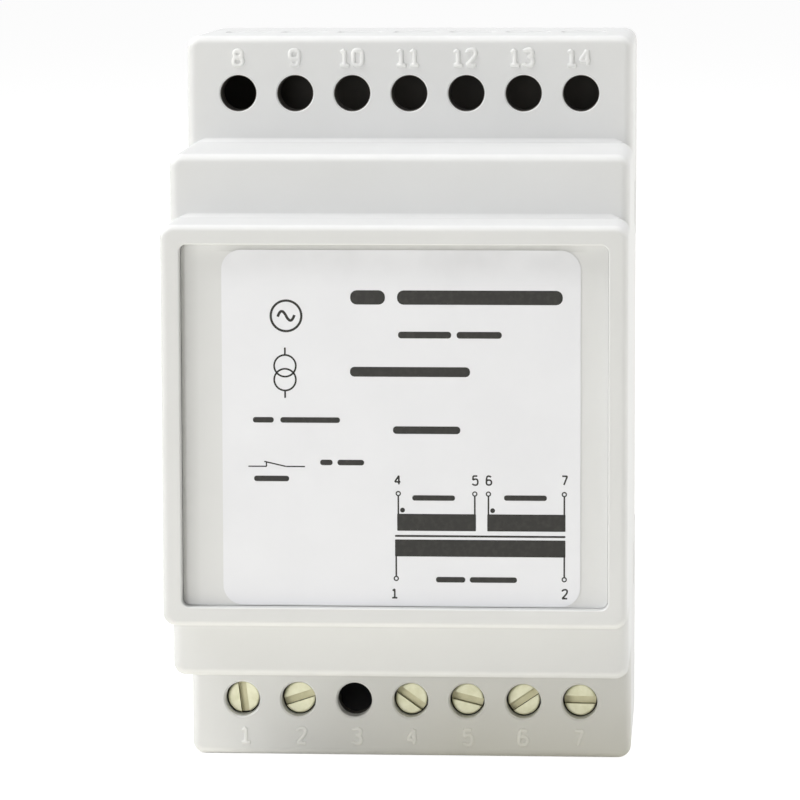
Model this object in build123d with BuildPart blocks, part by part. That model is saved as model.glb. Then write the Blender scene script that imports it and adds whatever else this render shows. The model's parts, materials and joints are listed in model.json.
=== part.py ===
"""Rail-mounted transformer: stepped housing, rail base with a latch, screw terminals, split coil.

Sizes in mm. X runs along the rail, Z is up and the front faces -Y.
The origin is the middle of the face that seats on the rail.
"""

import os
from math import radians, tan

from build123d import *

# Terminal row, which sets the width of the housing
TERMINALS = 7
PITCH = 6.7
PARTITION = 1.0

# Fitted terminals: angle of the screw's slot, and where its lead leaves the coil as a share of the half length
FITTED = {
    "1": (97, -0.72),
    "2": (18, -0.32),
    "4": (-36, 0.18),
    "5": (-14, 0.40),
    "6": (34, 0.64),
    "7": (-1, 0.88),
}

# Housing outside
WALL = 1.8
BLOCK_CLEARANCE = 0.4
WIDTH = TERMINALS * PITCH + PARTITION + 2 * (WALL + BLOCK_CLEARANCE)
HEIGHT = 85.6
TERMINAL_STEP = 12.8
SHOULDER_HEIGHT = HEIGHT - 2 * TERMINAL_STEP
FRONT_HEIGHT = 45.3
DEPTH = 58.0
SHOULDER_DEPTH = 48.5
TERMINAL_DEPTH = 30.0
BASE_DEPTH = 10.0
SEAT_DEPTH = 5.0
DRAFT_ANGLE = 1.0
PLAN_RADIUS = 1.5
TERMINAL_EDGE = 1.0
SHOULDER_EDGE = 1.0
FRONT_EDGE = 0.75
REAR_EDGE = 0.9

# Levels along Y, rear to front
REAR_Y = SEAT_DEPTH
PARTING_Y = REAR_Y - BASE_DEPTH
TERMINAL_Y = REAR_Y - TERMINAL_DEPTH
SHOULDER_Y = REAR_Y - SHOULDER_DEPTH
FRONT_Y = REAR_Y - DEPTH

# Front recess, panel and label
RIM = 2.2
RIM_EDGE = 0.2
WINDOW_CORNER = 0.8
RECESS = 1.4
PANEL_THICKNESS = 1.4
PANEL_CLEARANCE = 0.05
LEDGE = 1.6
LEDGE_THICKNESS = 1.4
LABEL_WIDTH = 40.2
LABEL_HEIGHT = 40.1
LABEL_CORNER = 3.0
LABEL_THICKNESS = 0.12
LABEL_X = 0.75
LABEL_Z = -0.25
WINDOW_WIDTH = WIDTH - 2 * RIM
WINDOW_HEIGHT = FRONT_HEIGHT - 2 * RIM
FRONT_WALL = RECESS + PANEL_THICKNESS + LEDGE_THICKNESS
PANEL_Y = FRONT_Y + RECESS

# Terminal screws, measured from the terminal face inwards
SCREW_INSET = 6.75
HEAD_SINK = 1.6
HEAD_DIAMETER = 3.8
HEAD_HEIGHT = 1.8
HEAD_EDGE = 0.25
SLOT_WIDTH = 0.95
SLOT_DEPTH = 0.9
THREAD_DIAMETER = 3.0
THREAD_CLEARANCE = 0.05
SHANK_LENGTH = 7.5
TIP_GAP = 0.05
TIP_CHAMFER = 0.4
HEAD_CLEARANCE = 0.175
HOLE_EDGE = 0.2
COLLAR_WALL = 0.7
COLLAR_LENGTH = 2.4
HOLE_DIAMETER = HEAD_DIAMETER + 2 * HEAD_CLEARANCE
COLLAR_DIAMETER = HOLE_DIAMETER + 2 * COLLAR_WALL
SCREW_ROW = HEIGHT / 2 - SCREW_INSET
HEAD_Y = TERMINAL_Y + HEAD_SINK
SHANK_Y = HEAD_Y + HEAD_HEIGHT
BAR_Y = SHANK_Y + SHANK_LENGTH + TIP_GAP

# Contact bars and clamp cages
BAR_THICKNESS = 0.8
BAR_CLEARANCE = 0.2
BAR_TAIL = 2.6
BAR_NOSE_GAP = 0.3
SLOT_CLEARANCE = 0.05
CAGE_WALL = 0.8
CAGE_TOP = 1.8
CAGE_LENGTH = 5.8
CAGE_CORNER = 0.5
CAGE_CLEARANCE = 0.15
CAGE_TOP_GAP = 0.2
CAGE_FLOOR_GAP = 0.4
WIRE_ROOM = 3.0
CHAMBER_WIDTH = PITCH - PARTITION
CAGE_WIDTH = CHAMBER_WIDTH - 2 * CAGE_CLEARANCE
CAGE_INNER = CAGE_WIDTH - 2 * CAGE_WALL
BAR_WIDTH = CAGE_INNER - 2 * BAR_CLEARANCE
BAR_REAR_Y = BAR_Y + BAR_THICKNESS
CAGE_ROOF_Y = BAR_Y - CAGE_TOP_GAP
CAGE_TOP_Y = CAGE_ROOF_Y - CAGE_TOP
CAGE_FLOOR_Y = BAR_REAR_Y + WIRE_ROOM
CAGE_END_Y = CAGE_FLOOR_Y + CAGE_WALL

# Wire entries in both ends of the cover
WIRE_WIDTH = 4.6
WIRE_HEIGHT = 4.8
WIRE_CORNER = 0.25
WIRE_CHAMFER = 0.4
WIRE_Y = BAR_REAR_Y + WIRE_ROOM / 2

# Terminal block, a comb that is open to the front and to the wire entries
BLOCK_WALL = 1.6
BLOCK_FLOOR = 1.2
BLOCK_TOP_GAP = 0.4
BLOCK_END_GAP = 0.3
CHAMBER_ROOM = 0.3
BLOCK_TOP_Y = TERMINAL_Y + WALL + COLLAR_LENGTH + BLOCK_TOP_GAP
CHAMBER_FLOOR_Y = CAGE_END_Y + CAGE_FLOOR_GAP
CHAMBER_INNER_Z = SCREW_ROW - CAGE_LENGTH / 2 - CHAMBER_ROOM
BLOCK_INNER_Z = CHAMBER_INNER_Z - BLOCK_WALL
BLOCK_OUTER_Z = HEIGHT / 2 - WALL - BLOCK_END_GAP
BLOCK_WIDTH = TERMINALS * PITCH + PARTITION

# Rail seat, hooks and the pockets behind the end blocks
RAIL_HEIGHT = 35.0
RAIL_PLAY = 0.2
FLOOR = 1.8
LIP_REACH = 1.6
LIP_GAP = 1.4
LIP_FLAT = 1.2
LIP_RISE = 0.2
HOOK_WIDTH = 14.0
HOOK_SPACING = 36.0
RIB = 1.5
UPPER_POCKETS = 6
LOWER_POCKETS = 2
CHANNEL = RAIL_HEIGHT + 2 * RAIL_PLAY
LIP_Z = CHANNEL / 2 - LIP_REACH
POCKET_LENGTH = (HEIGHT - CHANNEL) / 2 - 2 * WALL
POCKET_Z = (HEIGHT + CHANNEL) / 4
UPPER_POCKET_WIDTH = (WIDTH - 2 * WALL - (UPPER_POCKETS - 1) * RIB) / UPPER_POCKETS

# Latch, which slides down in a guide of the base
LATCH_WIDTH = 22.0
LATCH_CLEARANCE = 0.15
LATCH_SINK = 0.3
LATCH_PLATE = 3.0
LATCH_FLANGE = 1.2
LATCH_FLANGE_THICKNESS = 1.3
LATCH_HEAD = 3.0
LATCH_TAB = 4.6
LATCH_TRAVEL = 4.0
LATCH_INSET = 0.8
DRIVER_SLOT_WIDTH = 7.0
DRIVER_SLOT_HEIGHT = 1.8
FINGER_LENGTH = 10.0
FINGER_WIDTH = 1.6
FINGER_SLIT = 0.8
BUMP_REACH = 0.4
BUMP_LENGTH = 1.6
GUIDE_WALL = 1.8
GUIDE_WIDTH = LATCH_WIDTH + 2 * LATCH_CLEARANCE
GROOVE_WIDTH = GUIDE_WIDTH + 2 * LATCH_FLANGE
GROOVE_DEPTH = LATCH_FLANGE_THICKNESS + 2 * LATCH_CLEARANCE
LATCH_LOW_Z = LATCH_INSET - HEIGHT / 2
LATCH_TOP_Z = -CHANNEL / 2 - LATCH_SINK
LATCH_PLATE_Y = LATCH_CLEARANCE + LATCH_PLATE
LATCH_REAR_Y = REAR_Y - LATCH_CLEARANCE
FINGER_Z = (LATCH_LOW_Z + LATCH_TAB + LATCH_TOP_Z - LATCH_HEAD) / 2
LOWER_ROOM = WIDTH / 2 - WALL - GROOVE_WIDTH / 2 - GUIDE_WALL
LOWER_POCKET_WIDTH = (LOWER_ROOM - (LOWER_POCKETS - 1) * RIB) / LOWER_POCKETS
LOWER_POCKET_X = WIDTH / 2 - WALL - LOWER_ROOM / 2

# Snap joint between base and cover
TONGUE = 1.2
TONGUE_RISE = 5.0
TONGUE_LENGTH = 58.0
TONGUE_CLEARANCE = 0.15
LUG_WIDTH = 5.0
LUG_HEIGHT = 1.6
LUG_REACH = 1.5
LUG_CLEARANCE = 0.2
LUG_SPACING = 44.0
TONGUE_OUTER_X = WIDTH / 2 - WALL - TONGUE_CLEARANCE
TONGUE_INNER_X = TONGUE_OUTER_X - TONGUE
TONGUE_Y = PARTING_Y - TONGUE_RISE
LUG_Y = (PARTING_Y + TONGUE_Y) / 2

# Core and coil, with the largest lamination unit that the housing has room for
CORE_SIDE_GAP = 1.85
CORE_END_GAP = 1.2
LEAD_ROOM = 3.4
COIL_GAP = 0.7
FRONT_ROOM = 8.3
CORE_UNIT = min(
    (WIDTH - 2 * WALL - 2 * CORE_SIDE_GAP) / 5,
    (SHOULDER_HEIGHT - 2 * WALL - 2 * CORE_END_GAP) / 6,
    (BLOCK_INNER_Z - LEAD_ROOM) / 3,
)
CORE_WIDTH = 5 * CORE_UNIT
CORE_LENGTH = 6 * CORE_UNIT
E_WIDTH = CORE_WIDTH - CORE_UNIT
MIDDLE_LEG = 2 * CORE_UNIT
CORE_WINDOW = 3 * CORE_UNIT
COIL_DEPTH = -FRONT_Y - FLOOR - COIL_GAP - FRONT_ROOM - FRONT_WALL
STACK = COIL_DEPTH - 2 * CORE_UNIT
CORE_REAR_Y = -FLOOR - COIL_GAP - CORE_UNIT
CORE_FRONT_Y = CORE_REAR_Y - STACK
COIL_Y = (CORE_REAR_Y + CORE_FRONT_Y) / 2
SUPPORT = 2.0
SUPPORT_SETBACK = 3.0
SUPPORT_LENGTH = CORE_LENGTH - 2 * SUPPORT_SETBACK
SUPPORT_INSET = 1.0
HOLD_THICKNESS = 2.0
HOLD_WIDTH = 3.0
HOLD_SPACING = 24.0
HOLD_Z = (SHOULDER_HEIGHT + FRONT_HEIGHT) / 4 - WALL

# Bobbin and windings round the middle leg
BOBBIN_CLEARANCE = 0.2
BOBBIN_WALL = 1.0
BOBBIN_FLANGE = 1.2
FLANGE_CLEARANCE = 0.3
WINDING_INSET = 0.9
WINDING_GAP = 0.05
WINDING_CORNER = 3.0
TAPE = 0.3
TUBE_Y = STACK + 2 * BOBBIN_CLEARANCE
TUBE_Z = MIDDLE_LEG + 2 * BOBBIN_CLEARANCE
FLANGE_Y = COIL_DEPTH
FLANGE_Z = MIDDLE_LEG + 2 * CORE_UNIT - 2 * FLANGE_CLEARANCE
TAPE_Y = FLANGE_Y - 2 * WINDING_INSET
TAPE_Z = FLANGE_Z - 2 * WINDING_INSET
BOBBIN_X = CORE_WINDOW / 2 - BOBBIN_CLEARANCE
CHAMBER_NEAR_X = BOBBIN_FLANGE / 2 + WINDING_GAP
CHAMBER_FAR_X = BOBBIN_X - BOBBIN_FLANGE - WINDING_GAP
CHAMBER_MID_X = (CHAMBER_NEAR_X + CHAMBER_FAR_X) / 2

# Thermal cut-out on the primary winding
CUTOUT_WIDTH = 6.0
CUTOUT_LENGTH = 14.0
CUTOUT_HEIGHT = 4.0
CUTOUT_EDGE = 0.8

# Leads from the windings to the contact bars
LEAD_DIAMETER = 1.2
LEAD_BEND = 1.5
LEAD_DROP = 2.6
LEAD_RUN = 3.2
LEAD_CORE_GAP = 4.0
LEAD_OFFSET = 1.6
LEAD_Y = CORE_REAR_Y + LEAD_CORE_GAP
LEAD_Z = LEAD_OFFSET - BLOCK_INNER_Z

os.makedirs("parts", exist_ok=True)


def terminal_x(number):
    """Middle of a terminal position, counted from the left."""
    return (number - (TERMINALS + 1) / 2) * PITCH


def level_height(height, front_y, y):
    """Height of a level at y, where its end walls lean outwards from its front to the rear."""
    return height + 2 * tan(radians(DRAFT_ANGLE)) * (y - front_y)


def level_block(height, rear_y, front_y, edge):
    """One level of the cover as a solid block with rounded corners and a rounded front edge."""
    with BuildPart() as block:
        with BuildSketch(Plane.XZ.offset(-rear_y)):
            RectangleRounded(WIDTH, level_height(height, front_y, rear_y), PLAN_RADIUS)
        with BuildSketch(Plane.XZ.offset(-front_y)):
            RectangleRounded(WIDTH, height, PLAN_RADIUS)
        loft()
        fillet(block.faces().sort_by(Axis.Y)[0].edges(), edge)
    return block.part


def inner_edges(faces):
    """Edges of every hole in these faces."""
    return [edge for face in faces for wire in face.inner_wires() for edge in wire.edges()]


# Cover
cavity_points = [
    (PARTING_Y, HEIGHT / 2 - WALL),
    (TERMINAL_Y + WALL, HEIGHT / 2 - WALL),
    (TERMINAL_Y + WALL, level_height(SHOULDER_HEIGHT, SHOULDER_Y, TERMINAL_Y) / 2 - WALL),
    (SHOULDER_Y + WALL, SHOULDER_HEIGHT / 2 - WALL),
    (SHOULDER_Y + WALL, level_height(FRONT_HEIGHT, FRONT_Y, SHOULDER_Y) / 2 - WALL),
    (FRONT_Y + FRONT_WALL, FRONT_HEIGHT / 2 - WALL),
]
with BuildPart() as cover:
    with BuildSketch(Plane.XZ.offset(-PARTING_Y)):
        RectangleRounded(WIDTH, HEIGHT, PLAN_RADIUS)
    extrude(amount=PARTING_Y - TERMINAL_Y)
    fillet(cover.faces().sort_by(Axis.Y)[0].edges(), TERMINAL_EDGE)
    add(level_block(SHOULDER_HEIGHT, TERMINAL_Y + WALL, SHOULDER_Y, SHOULDER_EDGE))
    add(level_block(FRONT_HEIGHT, SHOULDER_Y + WALL, FRONT_Y, FRONT_EDGE))

    # Hollow inside, open at the rear
    with BuildSketch(Plane.YZ):
        with BuildLine():
            Polyline(*cavity_points, *[(y, -z) for y, z in reversed(cavity_points)], close=True)
        make_face()
    extrude(amount=WIDTH / 2 - WALL, both=True, mode=Mode.SUBTRACT)

    # Front window with a ledge behind the panel
    with BuildSketch(Plane.XZ.offset(-FRONT_Y)):
        RectangleRounded(WINDOW_WIDTH, WINDOW_HEIGHT, WINDOW_CORNER)
    extrude(amount=-RECESS - PANEL_THICKNESS, mode=Mode.SUBTRACT)
    with BuildSketch(Plane.XZ.offset(-FRONT_Y)):
        RectangleRounded(WINDOW_WIDTH - 2 * LEDGE, WINDOW_HEIGHT - 2 * LEDGE, WINDOW_CORNER)
    extrude(amount=-FRONT_WALL, mode=Mode.SUBTRACT)
    fillet(inner_edges(cover.faces().sort_by(Axis.Y)[:1]), RIM_EDGE)

    # Ribs that hold the core down
    with BuildSketch(Plane.XZ.offset(-SHOULDER_Y - WALL)):
        with GridLocations(HOLD_SPACING, 2 * HOLD_Z, 2, 2):
            Rectangle(HOLD_THICKNESS, HOLD_WIDTH)
    extrude(amount=SHOULDER_Y + WALL - CORE_FRONT_Y)

    # Screwdriver holes with collars inside
    with BuildSketch(Plane.XZ.offset(-TERMINAL_Y - WALL)):
        with GridLocations(PITCH, 2 * SCREW_ROW, TERMINALS, 2):
            Circle(COLLAR_DIAMETER / 2)
    extrude(amount=-COLLAR_LENGTH)
    with BuildSketch(Plane.XZ.offset(-TERMINAL_Y)):
        with GridLocations(PITCH, 2 * SCREW_ROW, TERMINALS, 2):
            Circle(HOLE_DIAMETER / 2)
    extrude(amount=-WALL - COLLAR_LENGTH, mode=Mode.SUBTRACT)
    terminal_faces = cover.faces().filter_by(Axis.Y)
    terminal_faces = terminal_faces.filter_by_position(Axis.Y, TERMINAL_Y - 0.01, TERMINAL_Y + 0.01)
    chamfer(inner_edges(terminal_faces), HOLE_EDGE)

    # Wire entries in both ends
    for end in (-1, 1):
        with BuildSketch(Plane.XY.offset(end * HEIGHT / 2)):
            with Locations((0, WIRE_Y)):
                with GridLocations(PITCH, 0, TERMINALS, 1):
                    RectangleRounded(WIRE_WIDTH, WIRE_HEIGHT, WIRE_CORNER)
        extrude(amount=-end * WALL, mode=Mode.SUBTRACT)
    end_faces = cover.faces().filter_by(Axis.Z).sort_by(Axis.Z)
    chamfer(inner_edges([end_faces[0], end_faces[-1]]), WIRE_CHAMFER)

    # Windows for the snap lugs
    with BuildSketch(Plane.YZ):
        with Locations((LUG_Y, 0)):
            with GridLocations(0, LUG_SPACING, 1, 2):
                Rectangle(LUG_HEIGHT + 2 * LUG_CLEARANCE, LUG_WIDTH + 2 * LUG_CLEARANCE)
    extrude(amount=WIDTH / 2, both=True, mode=Mode.SUBTRACT)
cover.part.label = "cover"
export_step(cover.part, "parts/cover.step")

# Base
with BuildPart() as base:
    with BuildSketch(Plane.XZ.offset(-REAR_Y)):
        RectangleRounded(WIDTH, HEIGHT, PLAN_RADIUS)
    extrude(amount=BASE_DEPTH)
    fillet(base.faces().sort_by(Axis.Y)[-1].edges(), REAR_EDGE)
    with BuildSketch(Plane.XZ.offset(-PARTING_Y)):
        Rectangle(WIDTH - 2 * WALL, HEIGHT - 2 * WALL)
    extrude(amount=PARTING_Y + FLOOR, mode=Mode.SUBTRACT)
    with BuildSketch(Plane.YZ):
        with Locations((REAR_Y / 2, 0)):
            Rectangle(REAR_Y, CHANNEL)
    extrude(amount=WIDTH / 2, both=True, mode=Mode.SUBTRACT)

    # Pockets behind the end blocks
    with BuildSketch(Plane.XZ.offset(-REAR_Y)):
        with Locations((0, POCKET_Z)):
            with GridLocations(UPPER_POCKET_WIDTH + RIB, 0, UPPER_POCKETS, 1):
                Rectangle(UPPER_POCKET_WIDTH, POCKET_LENGTH)
        with Locations((-LOWER_POCKET_X, -POCKET_Z), (LOWER_POCKET_X, -POCKET_Z)):
            with GridLocations(LOWER_POCKET_WIDTH + RIB, 0, LOWER_POCKETS, 1):
                Rectangle(LOWER_POCKET_WIDTH, POCKET_LENGTH)
    extrude(amount=SEAT_DEPTH, mode=Mode.SUBTRACT)

    # Fixed hooks over the upper edge of the rail
    for side in (-1, 1):
        with BuildSketch(Plane.YZ.offset(side * HOOK_SPACING / 2)):
            with BuildLine():
                Polyline(
                    (LIP_GAP, CHANNEL / 2 + WALL / 2),
                    (LIP_GAP, LIP_Z),
                    (LIP_GAP + LIP_FLAT, LIP_Z),
                    (REAR_Y - REAR_EDGE, CHANNEL / 2 - LIP_RISE),
                    (REAR_Y - REAR_EDGE, CHANNEL / 2 + WALL / 2),
                    close=True,
                )
            make_face()
        extrude(amount=HOOK_WIDTH / 2, both=True)

    # Guide for the latch, with a groove on each side and a track for the stop bumps
    with BuildSketch(Plane.XY.offset(-HEIGHT / 2)):
        with Locations((0, REAR_Y / 2)):
            Rectangle(GUIDE_WIDTH, REAR_Y)
        with Locations((0, GROOVE_DEPTH / 2)):
            Rectangle(GROOVE_WIDTH, GROOVE_DEPTH)
    extrude(amount=(HEIGHT - CHANNEL) / 2, mode=Mode.SUBTRACT)
    with BuildSketch(Plane.XZ.offset(-GROOVE_DEPTH)):
        with Locations((0, FINGER_Z - LATCH_TRAVEL / 2)):
            Rectangle(GUIDE_WIDTH + 2 * BUMP_REACH, BUMP_LENGTH + LATCH_TRAVEL + 2 * LATCH_CLEARANCE)
    extrude(amount=GROOVE_DEPTH - LATCH_PLATE_Y - LATCH_CLEARANCE, mode=Mode.SUBTRACT)

    # Tongues inside the cover's long sides, with snap lugs
    for side in (-1, 1):
        with BuildSketch(Plane.XY.offset(-TONGUE_LENGTH / 2)):
            with BuildLine():
                Polyline(
                    (side * TONGUE_INNER_X, -FLOOR / 2),
                    (side * (WIDTH - WALL) / 2, -FLOOR / 2),
                    (side * (WIDTH - WALL) / 2, PARTING_Y),
                    (side * TONGUE_OUTER_X, PARTING_Y),
                    (side * TONGUE_OUTER_X, TONGUE_Y),
                    (side * TONGUE_INNER_X, TONGUE_Y),
                    close=True,
                )
            make_face()
        extrude(amount=TONGUE_LENGTH)
        for end in (-1, 1):
            with BuildSketch(Plane.XY.offset((end * LUG_SPACING - LUG_WIDTH) / 2)):
                with BuildLine():
                    Polyline(
                        (side * (TONGUE_OUTER_X - TONGUE / 2), LUG_Y + LUG_HEIGHT / 2),
                        (side * (TONGUE_OUTER_X + LUG_REACH), LUG_Y + LUG_HEIGHT / 2),
                        (side * TONGUE_OUTER_X, LUG_Y - LUG_HEIGHT / 2),
                        (side * (TONGUE_OUTER_X - TONGUE / 2), LUG_Y - LUG_HEIGHT / 2),
                        close=True,
                    )
                make_face()
            extrude(amount=LUG_WIDTH)

    # Rails that carry the core
    with BuildSketch(Plane.XZ.offset(FLOOR)):
        with GridLocations(CORE_WIDTH - 2 * SUPPORT_INSET, 0, 2, 1):
            Rectangle(SUPPORT, SUPPORT_LENGTH)
    extrude(amount=-FLOOR - CORE_REAR_Y)
base.part.label = "base"
export_step(base.part, "parts/base.step")

# Rail latch
with BuildPart() as rail_latch:
    with BuildSketch(Plane.YZ):
        with BuildLine():
            Polyline(
                (LATCH_CLEARANCE, LATCH_LOW_Z),
                (LATCH_CLEARANCE, LATCH_TOP_Z),
                (LIP_GAP, LATCH_TOP_Z),
                (LIP_GAP, -LIP_Z),
                (LIP_GAP + LIP_FLAT, -LIP_Z),
                (LATCH_REAR_Y, LATCH_TOP_Z + LIP_RISE),
                (LATCH_REAR_Y, LATCH_TOP_Z - LATCH_HEAD),
                (LATCH_PLATE_Y, LATCH_TOP_Z - LATCH_HEAD),
                (LATCH_PLATE_Y, LATCH_LOW_Z + LATCH_TAB),
                (LATCH_REAR_Y, LATCH_LOW_Z + LATCH_TAB),
                (LATCH_REAR_Y, LATCH_LOW_Z),
                close=True,
            )
        make_face()
    extrude(amount=LATCH_WIDTH / 2, both=True)
    flange_low_z = FINGER_Z - FINGER_LENGTH / 2
    flange_top_z = FINGER_Z + FINGER_LENGTH / 2
    with BuildSketch(Plane.XZ.offset(-LATCH_CLEARANCE)):
        with Locations((0, (LATCH_LOW_Z + flange_low_z) / 2)):
            Rectangle(GROOVE_WIDTH - 2 * LATCH_CLEARANCE, flange_low_z - LATCH_LOW_Z)
        with Locations((0, (flange_top_z + LATCH_TOP_Z) / 2)):
            Rectangle(GROOVE_WIDTH - 2 * LATCH_CLEARANCE, LATCH_TOP_Z - flange_top_z)
    extrude(amount=-LATCH_FLANGE_THICKNESS)
    with BuildSketch(Plane.XZ.offset(-GROOVE_DEPTH - LATCH_CLEARANCE)):
        with Locations((0, FINGER_Z)):
            Rectangle(LATCH_WIDTH + 2 * BUMP_REACH, BUMP_LENGTH)
    extrude(amount=GROOVE_DEPTH - LATCH_PLATE)
    with BuildSketch(Plane.XZ.offset(-REAR_Y)):
        with Locations((0, FINGER_Z)):
            with GridLocations(LATCH_WIDTH - 2 * FINGER_WIDTH - FINGER_SLIT, 0, 2, 1):
                Rectangle(FINGER_SLIT, FINGER_LENGTH)
        with Locations((0, LATCH_LOW_Z + LATCH_TAB / 2)):
            Rectangle(DRIVER_SLOT_WIDTH, DRIVER_SLOT_HEIGHT)
    extrude(amount=REAR_Y, mode=Mode.SUBTRACT)
rail_latch.part.label = "rail_latch"
export_step(rail_latch.part, "parts/rail_latch.step")

# Front panel and label
with BuildPart() as front_panel:
    with BuildSketch(Plane.XZ.offset(-PANEL_Y)):
        RectangleRounded(
            WINDOW_WIDTH - 2 * PANEL_CLEARANCE,
            WINDOW_HEIGHT - 2 * PANEL_CLEARANCE,
            WINDOW_CORNER - PANEL_CLEARANCE,
        )
    extrude(amount=-PANEL_THICKNESS)
front_panel.part.label = "front_panel"
export_step(front_panel.part, "parts/front_panel.step")

with BuildPart() as label:
    with BuildSketch(Plane.XZ.offset(-PANEL_Y)):
        with Locations((LABEL_X, LABEL_Z)):
            RectangleRounded(LABEL_WIDTH, LABEL_HEIGHT, LABEL_CORNER)
    extrude(amount=LABEL_THICKNESS)
label.part.label = "label"
export_step(label.part, "parts/label.step")

# Terminal block
with BuildPart() as terminal_block:
    with BuildSketch(Plane.XZ.offset(FLOOR)):
        with Locations((0, -(BLOCK_INNER_Z + BLOCK_OUTER_Z) / 2)):
            Rectangle(BLOCK_WIDTH, BLOCK_OUTER_Z - BLOCK_INNER_Z)
    extrude(amount=-FLOOR - BLOCK_TOP_Y)
    with BuildSketch(Plane.XZ.offset(-BLOCK_TOP_Y)):
        with Locations((0, -(CHAMBER_INNER_Z + BLOCK_OUTER_Z) / 2)):
            with GridLocations(PITCH, 0, TERMINALS, 1):
                Rectangle(CHAMBER_WIDTH, BLOCK_OUTER_Z - CHAMBER_INNER_Z)
    extrude(amount=BLOCK_TOP_Y - CHAMBER_FLOOR_Y, mode=Mode.SUBTRACT)
    with BuildSketch(Plane.XZ.offset(FLOOR)):
        with Locations((0, -(BLOCK_INNER_Z + BLOCK_OUTER_Z) / 2)):
            Rectangle(BLOCK_WIDTH - 2 * BLOCK_WALL, BLOCK_OUTER_Z - BLOCK_INNER_Z - 2 * BLOCK_WALL)
    extrude(amount=-FLOOR - CHAMBER_FLOOR_Y - BLOCK_FLOOR, mode=Mode.SUBTRACT)
    with BuildSketch(Plane.XY.offset(-BLOCK_INNER_Z)):
        with Locations((0, (BAR_Y + BAR_REAR_Y) / 2)):
            with GridLocations(PITCH, 0, TERMINALS, 1):
                Rectangle(BAR_WIDTH + 2 * SLOT_CLEARANCE, BAR_THICKNESS + 2 * SLOT_CLEARANCE)
    extrude(amount=-BLOCK_WALL, mode=Mode.SUBTRACT)
terminal_block.part.label = "terminal_block"
export_step(terminal_block.part, "parts/terminal_block.step")

# Screw, clamp cage, contact bar and lead of each fitted terminal
for number, (slot_angle, lead_share) in FITTED.items():
    x = terminal_x(int(number))
    with BuildPart() as screw:
        with BuildSketch(Plane.XZ.offset(-HEAD_Y)):
            with Locations((x, -SCREW_ROW)):
                Circle(HEAD_DIAMETER / 2)
        extrude(amount=-HEAD_HEIGHT)
        fillet(screw.faces().sort_by(Axis.Y)[0].edges(), HEAD_EDGE)
        with BuildSketch(Plane.XZ.offset(-SHANK_Y)):
            with Locations((x, -SCREW_ROW)):
                Circle(THREAD_DIAMETER / 2 - THREAD_CLEARANCE)
        extrude(amount=-SHANK_LENGTH)
        chamfer(screw.faces().sort_by(Axis.Y)[-1].edges(), TIP_CHAMFER)
        with BuildSketch(Plane.XZ.offset(-HEAD_Y)):
            with Locations((x, -SCREW_ROW)):
                Rectangle(2 * HEAD_DIAMETER, SLOT_WIDTH, rotation=slot_angle)
        extrude(amount=-SLOT_DEPTH, mode=Mode.SUBTRACT)
    screw.part.label = f"terminal_screw_{number}"
    export_step(screw.part, f"parts/terminal_screw_{number}.step")

    with BuildPart() as cage:
        with BuildSketch(Plane.XY.offset(-SCREW_ROW - CAGE_LENGTH / 2)):
            with Locations((x, (CAGE_TOP_Y + CAGE_END_Y) / 2)):
                RectangleRounded(CAGE_WIDTH, CAGE_END_Y - CAGE_TOP_Y, CAGE_CORNER)
            with Locations((x, (CAGE_ROOF_Y + CAGE_FLOOR_Y) / 2)):
                Rectangle(CAGE_INNER, CAGE_FLOOR_Y - CAGE_ROOF_Y, mode=Mode.SUBTRACT)
        extrude(amount=CAGE_LENGTH)
        with BuildSketch(Plane.XZ.offset(-CAGE_TOP_Y)):
            with Locations((x, -SCREW_ROW)):
                Circle(THREAD_DIAMETER / 2)
        extrude(amount=-CAGE_TOP, mode=Mode.SUBTRACT)
    cage.part.label = f"clamp_cage_{number}"
    export_step(cage.part, f"parts/clamp_cage_{number}.step")

    bar_nose = SCREW_ROW + CAGE_LENGTH / 2 - BAR_NOSE_GAP
    bar_tail = BLOCK_INNER_Z - BAR_TAIL
    with BuildPart() as bar:
        with BuildSketch(Plane.XZ.offset(-BAR_Y)):
            with Locations((x, -(bar_nose + bar_tail) / 2)):
                Rectangle(BAR_WIDTH, bar_nose - bar_tail)
        extrude(amount=-BAR_THICKNESS)
    bar.part.label = f"contact_bar_{number}"
    export_step(bar.part, f"parts/contact_bar_{number}.step")

    lead_x = lead_share * CHAMBER_FAR_X
    with BuildPart() as lead:
        with BuildLine():
            FilletPolyline(
                (lead_x, LEAD_Y, -TAPE_Z / 2),
                (lead_x, LEAD_Y, -TAPE_Z / 2 - LEAD_DROP),
                (x, LEAD_Y, LEAD_Z + LEAD_RUN),
                (x, LEAD_Y, LEAD_Z),
                (x, BAR_REAR_Y, LEAD_Z),
                radius=LEAD_BEND,
            )
        with BuildSketch(Plane(origin=(lead_x, LEAD_Y, -TAPE_Z / 2), z_dir=(0, 0, -1))):
            Circle(LEAD_DIAMETER / 2)
        sweep()
    lead.part.label = f"lead_{number}"
    export_step(lead.part, f"parts/lead_{number}.step")

# Core, split where the I stack closes the E stack
with BuildPart() as core_e:
    with BuildSketch(Plane.XZ.offset(-CORE_REAR_Y)):
        with Locations(((E_WIDTH - CORE_WIDTH) / 2, 0)):
            Rectangle(E_WIDTH, CORE_LENGTH)
        with GridLocations(0, MIDDLE_LEG + CORE_UNIT, 1, 2):
            Rectangle(CORE_WINDOW, CORE_UNIT, mode=Mode.SUBTRACT)
    extrude(amount=STACK)
core_e.part.label = "core_e_laminations"
export_step(core_e.part, "parts/core_e_laminations.step")

with BuildPart() as core_i:
    with BuildSketch(Plane.XZ.offset(-CORE_REAR_Y)):
        with Locations((E_WIDTH / 2, 0)):
            Rectangle(CORE_UNIT, CORE_LENGTH)
    extrude(amount=STACK)
core_i.part.label = "core_i_laminations"
export_step(core_i.part, "parts/core_i_laminations.step")

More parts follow.
